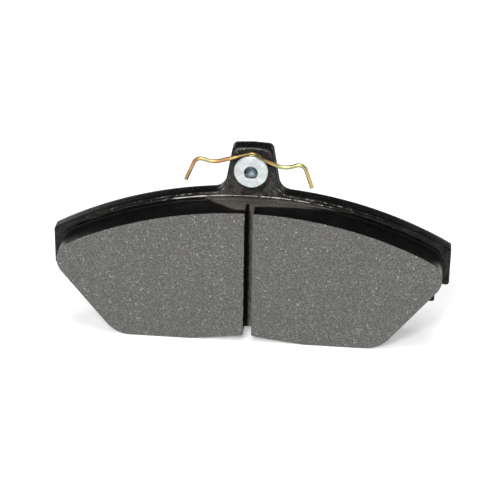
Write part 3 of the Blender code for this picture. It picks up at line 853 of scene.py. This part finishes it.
def make_friction_block(face, wall, bare):
    """The moulded block: ground face, crumbled face edge, painted walls and a bare slot.

    The edge's width is its own, times one minus a rag: fine and coarse noise, less the peaks of a
    third noise, which leave the chips. It keeps clear of the lower edge and the slot.
    """
    loop = closed_loop(lining_half(0), 1400)
    walk = way_round(loop)
    free = (loop[:, 1] > 1 * MM) & (np.abs(loop[:, 0]) > 2 * MM)
    fine_share, coarse_share, chip_level, chip_growth = 0.75, 0.40, 0.62, 9.0
    rag = fine_share * line_noise(walk, 0.7 * MM, 2)
    rag += coarse_share * line_noise(walk, 2.3 * MM, 7)
    rag -= chip_growth * np.clip(line_noise(walk, 1.1 * MM, 9) - chip_level, 0, 1)
    crumble = 1 - free * rag
    profile = quarter_round(CRUMBLED_EDGE, CRUMBLED_EDGE, FACE_Y + FACE_RECESS, 1, 5)
    profile += [(0.06 * MM, FACE_Y + 0.5 * MM)]
    profile += [(0, FACE_Y + depth * MM) for depth in (1.2, 3.0, 4.5, 6.0, 7.5)]
    profile.append((0, UNDERLAYER_FRONT + 0.1 * MM))
    rings = face_rings(loop, CRUMBLED_EDGE * crumble, 56, FACE_Y)
    block = slab("friction_block_fine", loop, profile, [face, wall], rings, crumble)
    boolean(block, slot_cutter(wall), "DIFFERENCE")
    mesh = block.data
    normal = per_face(mesh, "normal")
    centre = per_face(mesh, "center")
    on_face = (normal[:, 1] < -0.6) & (centre[:, 1] < FACE_Y + 0.3 * MM)
    in_slot = np.abs(centre[:, 0]) < SLOT_HALF_WIDTH + SLOT_EDGE + 0.02 * MM
    in_slot &= centre[:, 1] < FACE_Y + SLOT_DEPTH + SLOT_SINK + 0.05 * MM
    coat(mesh, [face, wall, bare], np.where(on_face, 0, np.where(in_slot, 2, 1)))
    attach(block, "pad")
    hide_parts("friction_block")


def per_face(mesh, kind):
    """A vector for each face of a mesh, its normal or its centre."""
    values = np.empty(len(mesh.polygons) * 3, np.float32)
    mesh.polygons.foreach_get(kind, values)
    return values.reshape(-1, 3)


def coat(mesh, materials, choice):
    """Give each face the material of its number in choice."""
    mesh.materials.clear()
    for material in materials:
        mesh.materials.append(material)
    mesh.polygons.foreach_set("material_index", choice.astype(np.int32))
    mesh.update()


def key_places():
    """The places (x, z) of the bonding keys."""
    return [(side * offset, KEY_HEIGHT) for offset in KEY_OFFSETS for side in (-1, 1)]


def plug(name, x, z, radius, start_y, end_y, soft, materials):
    """A round plug about (x, z) with a softened edge at its end."""
    profile = [(radius, start_y)] + [(radius - inset, y) for inset, y in
                                     quarter_round(soft, soft, end_y, -1, 5)[::-1]]
    item = turned(name, profile, z, materials, 64)
    item.data.transform(Matrix.Translation((x, 0, 0)))
    return item


def make_underlayer(wall, face):
    """The bonding layer: a thin sheet with an uneven moulded edge, a little flash on top, and its keys.

    Noise draws the edge inwards, and the flash grows with how far the edge faces up.
    """
    soft = 0.2 * MM
    loop = closed_loop(lining_half(UNDERLAYER_MARGIN), 1000)
    uneven = line_noise(way_round(loop), 3.0 * MM, 4) * UNDERLAYER_WAVER
    inward = (uneven - UNDERLAYER_WAVER) * (loop[:, 1] > 1 * MM)
    flash = UNDERLAYER_FLASH * np.clip(2 * outward(loop)[:, 1] - 0.6, 0, 1)
    loop = loop + outward(loop) * (inward + flash)[:, None]
    profile = quarter_round(soft, soft, UNDERLAYER_FRONT, 1, 5)
    profile += [(0, PLATE_FRONT - 0.3 * MM), (0, PLATE_FRONT - 0.02 * MM)]
    layer = slab("underlayer_fine", loop, profile, [wall, face])
    for number, (x, z) in enumerate(key_places(), 1):
        key = plug(f"key_{number}", x, z, KEY_RADIUS + KEY_GROWTH, PLATE_FRONT - 0.8 * MM,
                   PLATE_BACK - KEY_RECESS, 0.3 * MM, [wall, face])
        boolean(layer, key, "UNION")
    keyed = per_face(layer.data, "center")[:, 1] > PLATE_FRONT + 0.5 * MM
    coat(layer.data, [wall, face], np.where(keyed, 1, 0))
    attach(layer, "pad")
    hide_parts("underlayer")


def make_bond_line(material):
    """A thin uneven bead of adhesive where the lining meets the plate, above the lower edge.

    It is a tube along the lining's outline, whose radius swells and thins with noise and tapers at
    both ends.
    """
    half = lining_half(UNDERLAYER_MARGIN + BEAD_RISE)
    right = half[half[:, 1] > BEAD_LOWEST]
    path, along = measured(np.concatenate([right, (right * [-1, 1])[::-1][1:]]))
    wanted = np.linspace(0, along[-1], 900)
    line = resampled(path, along, wanted)
    thick = BEAD_RADIUS * (1 + 0.7 * line_noise(wanted, 2.1 * MM, 6))
    thick *= np.minimum(1, np.minimum(wanted, along[-1] - wanted) / BEAD_END_TAPER) + 0.05
    chord = np.gradient(line, axis=0)
    chord /= np.hypot(*chord.T)[:, None]
    normal = np.stack([chord[:, 1], -chord[:, 0]], 1)
    angle = np.linspace(0, 2 * math.pi, 10, endpoint=False)
    out = thick[:, None] * np.cos(angle)
    deep = PLATE_FRONT - 0.1 * MM + thick[:, None] * np.sin(angle)
    points = np.stack([line[:, :1] + normal[:, :1] * out, deep, line[:, 1:] + normal[:, 1:] * out], -1)
    bead = mesh_object("bond_line", points, loop_faces(len(points), len(angle)), [material])
    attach(bead, "pad")


def make_back_plate(paint):
    """The stamped plate: a rolled front edge and a fine burr edge behind, with its holes cut through.

    The roll grows with the outline's convexity, up the tab, and at the shoulders of the tab's top.
    """
    loop = closed_loop(plate_half(), 1500)
    on_tab = np.clip((loop[:, 1] - BLOCK_TOP - 4 * MM) / (6 * MM), 0, 1)
    crown = np.clip((loop[:, 1] - TAB_TOP + 3 * MM) / (2.2 * MM), 0, 1)
    shoulder = np.clip(np.abs(loop[:, 0]) / TAB_TOP_HALF_WIDTH, 0, 1)**4
    corner_growth, tab_growth, shoulder_growth = 1.1, 0.25, 1.4
    roll = 1 + corner_growth * convexity(loop, 8) + tab_growth * on_tab + shoulder_growth * crown * shoulder
    front = quarter_round(ROLL_INSET, ROLL_DEPTH, PLATE_FRONT, 1, 8)
    back = quarter_round(BURR_EDGE, BURR_EDGE, PLATE_BACK, -1, 4)[::-1]
    middle = [(0, PLATE_FRONT + share * (PLATE_BACK - PLATE_FRONT)) for share in (0.3, 0.5, 0.7)]
    plate = slab("back_plate_fine", loop, front + middle + back, [paint], inset_scale=roll)
    holes = [(x, z, KEY_RADIUS + KEY_GROWTH + KEY_FIT) for x, z in key_places()]
    holes.append((0, RIVET_HEIGHT, SHANK_RADIUS + RIVET_HOLE_FIT))
    beyond, soft = 2 * MM, 0.1 * MM
    for number, (x, z, radius) in enumerate(holes, 1):
        hole = plug(f"hole_{number}", x, z, radius, PLATE_FRONT - beyond, PLATE_BACK + beyond, soft, [paint])
        boolean(plate, hole, "DIFFERENCE")
    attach(plate, "pad")
    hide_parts("back_plate")


def make_rivet(zinc):
    """The rivet: a slightly dished flange with a soft rim, a blind bore with a cone, a domed tail.

    The flange's face waves a little round its circle, as pressed metal does.
    """
    front = RIVET_FRONT + FLANGE_RECESS
    flange_back = RIVET_FRONT + FLANGE_THICKNESS
    shoulder_end = PLATE_FRONT - 0.01 * MM
    tail_front = PLATE_BACK + 0.02 * MM
    dome_start = tail_front + 0.2 * MM
    dome = RIVET_BACK - tail_front - 0.2 * MM
    angle = np.linspace(0, math.pi / 2, 7)
    bore_end = RIVET_FRONT + BORE_DEPTH
    rows = [(radius * MM, bore_end - rise * MM) for radius, rise in BORE_CONE]
    rows += [(BORE_RADIUS, bore_end - CONE_RISE), (BORE_RADIUS, RIVET_FRONT + 0.6 * MM)]
    rows += [(BORE_RADIUS + BORE_LIP * (1 - math.cos(a)), front + BORE_LIP * (1 - math.sin(a)))
             for a in angle]
    rows += [(radius * MM, front) for radius in FLANGE_RINGS]
    rows += [(FLANGE_RADIUS - FLANGE_RIM * (1 - math.sin(a)), front + FLANGE_RIM * (1 - math.cos(a)))
             for a in angle]
    rows += [(FLANGE_RADIUS, flange_back - 0.25 * MM), (FLANGE_RADIUS - 0.2 * MM, flange_back)]
    rows += [(SHOULDER_RADIUS, flange_back), (SHOULDER_RADIUS, shoulder_end)]
    rows += [(SHANK_RADIUS, shoulder_end), (SHANK_RADIUS, tail_front)]
    rows += [(TAIL_RADIUS - 0.15 * MM, tail_front), (TAIL_RADIUS, dome_start)]
    rows += [(TAIL_RADIUS * math.cos(a), dome_start + dome * math.sin(a)**0.7)
             for a in np.linspace(0.12, math.pi / 2 - 0.01, 14)]

    def press(ring, depth, turn):
        """Dish the flange by a shallow bowl, wave it with three and five lobes, and lower the bore.

        The bore is lowered by a sine of the turn, and has a small flat at its lowest point.
        """
        bowl, wave_of_three, wave_of_five, skew = 0.03 * MM, 0.025 * MM, 0.015 * MM, 0.7
        flat_depth, flat_spread, lowering = 0.10 * MM, 0.45, 0.2 * MM
        on_face = (depth < RIVET_FRONT + 0.3 * MM) & (ring > BORE_RADIUS)
        share = np.clip((ring - BORE_RADIUS) / (FLANGE_RADIUS - BORE_RADIUS), 0, 1)
        wave = wave_of_three * np.sin(3 * turn + skew) + wave_of_five * np.sin(5 * turn)
        depth = depth + on_face * share * (bowl + wave)
        bore = (ring < BORE_RADIUS + 0.3 * MM) & (depth < bore_end - 1.2 * MM)
        flat = flat_depth * np.exp(-((turn - 1.5 * math.pi) / flat_spread) ** 2)
        return ring - bore * (flat + lowering * np.sin(turn)), depth

    rivet = turned("spring_rivet_fine", rows, RIVET_HEIGHT, [zinc], 128, press)
    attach(rivet, "pad")
    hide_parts("spring_rivet")


def coil_tangent(side, arm):
    """Angle round the coil's oval at which the arm's first run touches it.

    Widened to a circle, the oval keeps its tangents, so the angle is the circle's.
    """
    widening = COIL_HALF_HEIGHT / COIL_HALF_WIDTH
    towards = math.atan2(arm[1], side * arm[0] * widening)
    return towards + side * math.acos(COIL_HALF_HEIGHT / math.hypot(arm[0] * widening, arm[1]))


def arm_points(side, arm, y):
    """Points of an arm from the coil to the leg's end: a valley, a bend and a straight leg."""
    angle = coil_tangent(side, arm)
    corners = [(COIL_HALF_WIDTH * math.cos(angle), COIL_HEIGHT + COIL_HALF_HEIGHT * math.sin(angle), 0)]
    for number, radius in ((0, VALLEY_FILLET), (2, BEND_FILLET), (4, 0)):
        corners.append((side * arm[number], COIL_HEIGHT + arm[number + 1], radius))
    path = rounded_path(corners)
    return np.stack([path[:, 0], np.full(len(path), y), path[:, 1]], 1)


def coil_points():
    """Points of the coil from the left arm's touch to the right arm's: an oval helix about Y.

    The angle falls evenly. Between short flat turns at both ends the depth steps forward by the
    strand pitch, along a straight line with a little of the curve 3t^2 - 2t^3 mixed in.
    """
    left = coil_tangent(-1, LEFT_ARM)
    right = coil_tangent(1, RIGHT_ARM)
    share = np.linspace(0, 1, 240)
    eased = 0.2
    angle = left - (2 * math.pi + left - right) * share
    forward = np.clip((share - FLAT_TURN_SHARE) / (1 - 2 * FLAT_TURN_SHARE), 0, 1)
    forward = (1 - eased) * forward + eased * forward * forward * (3 - 2 * forward)
    y = REAR_STRAND_Y - STRAND_PITCH * forward
    return np.stack([COIL_HALF_WIDTH * np.cos(angle), y, COIL_HEIGHT + COIL_HALF_HEIGHT * np.sin(angle)], 1)


def even_steps(path, spacing, soft_end):
    """The path resampled to even steps, with finer steps over soft_end at each end."""
    path, along = measured(path)
    end = np.linspace(0, soft_end, 6)
    body = np.arange(soft_end, along[-1] - soft_end, spacing)
    return resampled(path, along, np.unique(np.concatenate([end, body, along[-1] - end])))


def make_spring(wire):
    """The spring wire in two lengths that meet out of sight below the flange.

    Each length holds half of the coil and one arm.
    """
    coil = coil_points()
    half = int(np.argmin(coil[:, 2]))
    left = np.concatenate([arm_points(-1, LEFT_ARM, REAR_STRAND_Y)[::-1], coil[1:half + 1]])
    right = np.concatenate([coil[half:-1], arm_points(1, RIGHT_ARM, FRONT_STRAND_Y)])
    for name, path, side, body in (("spring_wire_left", left, -1, "left_arm"),
                                   ("spring_wire_right", right, 1, "right_arm")):
        soft = WIRE_CUT_EDGE * WIRE_RADIUS
        piece = tube(name, even_steps(path, 0.25 * MM, soft), WIRE_RADIUS, [wire])
        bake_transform(piece)
        if side < 0:
            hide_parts("spring_coil", "spring_arm_left")
        else:
            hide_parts("spring_arm_right")


# ---------------------------------------------------------------- camera, light and floor

def make_camera():
    """A long lens in front of the pad, above it and a little to its right."""
    yaw, rise, roll = (math.radians(angle) for angle in CAMERA_ANGLES)
    forward = Vector((-math.sin(yaw) * math.cos(rise), math.cos(yaw) * math.cos(rise), -math.sin(rise)))
    level = Vector((math.cos(yaw), math.sin(yaw), 0))
    upright = level.cross(forward)
    right = level * math.cos(roll) + upright * math.sin(roll)
    up = upright * math.cos(roll) - level * math.sin(roll)
    target = Vector((0, FACE_Y, CAMERA_AIM_HEIGHT))
    lens = bpy.data.cameras.new("camera")
    lens.sensor_width = SENSOR_WIDTH
    lens.lens = FOCAL_LENGTH
    lens.shift_x, lens.shift_y = LENS_SHIFT
    lens.clip_start = 10 * MM
    camera = bpy.data.objects.new("camera", lens)
    turn = Matrix((right, up, -forward)).transposed()
    camera.matrix_world = Matrix.Translation(target - forward * CAMERA_DISTANCE) @ turn.to_4x4()
    bpy.context.scene.collection.objects.link(camera)
    bpy.context.scene.camera = camera


def soft_light(name, place, target, size, power):
    """A square area light aimed at a target."""
    lamp = bpy.data.lights.new(name, "AREA")
    lamp.shape = "SQUARE"
    lamp.size = size
    lamp.energy = power
    item = bpy.data.objects.new(name, lamp)
    item.location = place
    item.rotation_euler = (Vector(target) - Vector(place)).to_track_quat("-Z", "Y").to_euler()
    bpy.context.scene.collection.objects.link(item)


def make_backdrop(finish):
    """A low round wall far away: points at a fixed radius, at two heights, all the way round."""
    angle = np.linspace(0, 2 * math.pi, 96, endpoint=False)
    ring = BACKDROP_RADIUS * np.stack([np.cos(angle), np.sin(angle)], 1)
    rows = [np.column_stack([ring, np.full(len(ring), height)]) for height in (0, BACKDROP_HEIGHT)]
    faces = loop_faces(2, len(ring))[:-2]
    inward = [face[::-1] for face in faces]
    wall = mesh_object("backdrop", np.array(rows), inward, [finish], recalculate=False)


def make_stage():
    """The pale floor and wall, a dim room and four soft lights: in front, overhead and two behind."""
    side = BACKDROP_RADIUS * 1.05
    corners = np.array([(-side, -side, 0), (side, -side, 0), (side, side, 0), (-side, side, 0)])
    finish = pale_finish("pale_floor", 0.38)
    floor = mesh_object("floor", corners, [(0, 1, 2, 3)], [finish], recalculate=False)
    make_backdrop(pale_finish("pale_wall", 0.55))
    world = bpy.data.worlds.new("room")
    bpy.context.scene.world = world
    world.use_nodes = True
    room = world.node_tree.nodes["Background"]
    room.inputs["Color"].default_value = (0.95, 0.97, 1.0, 1)
    room.inputs["Strength"].default_value = 0.045
    middle = (0, 0.05, 0.02)
    soft_light("key", (-0.17, -0.95, 0.85), middle, 0.35, 10.4)
    soft_light("overhead", (0.0, -0.25, 1.3), middle, 0.7, 8)
    soft_light("left_back", (-1.0, 0.35, 0.7), middle, 0.5, 3)
    soft_light("right_back", (1.0, 0.45, 0.7), middle, 0.5, 3)
    bpy.context.scene.view_settings.view_transform = "Standard"


make_camera()
make_stage()
compound = friction_compound()
painted = painted_compound()
make_friction_block(compound, painted, slot_compound())
make_underlayer(painted, compound)
make_bond_line(bond_resin())
make_back_plate(black_paint())
make_rivet(zinc_plate())
make_spring(yellow_zinc())
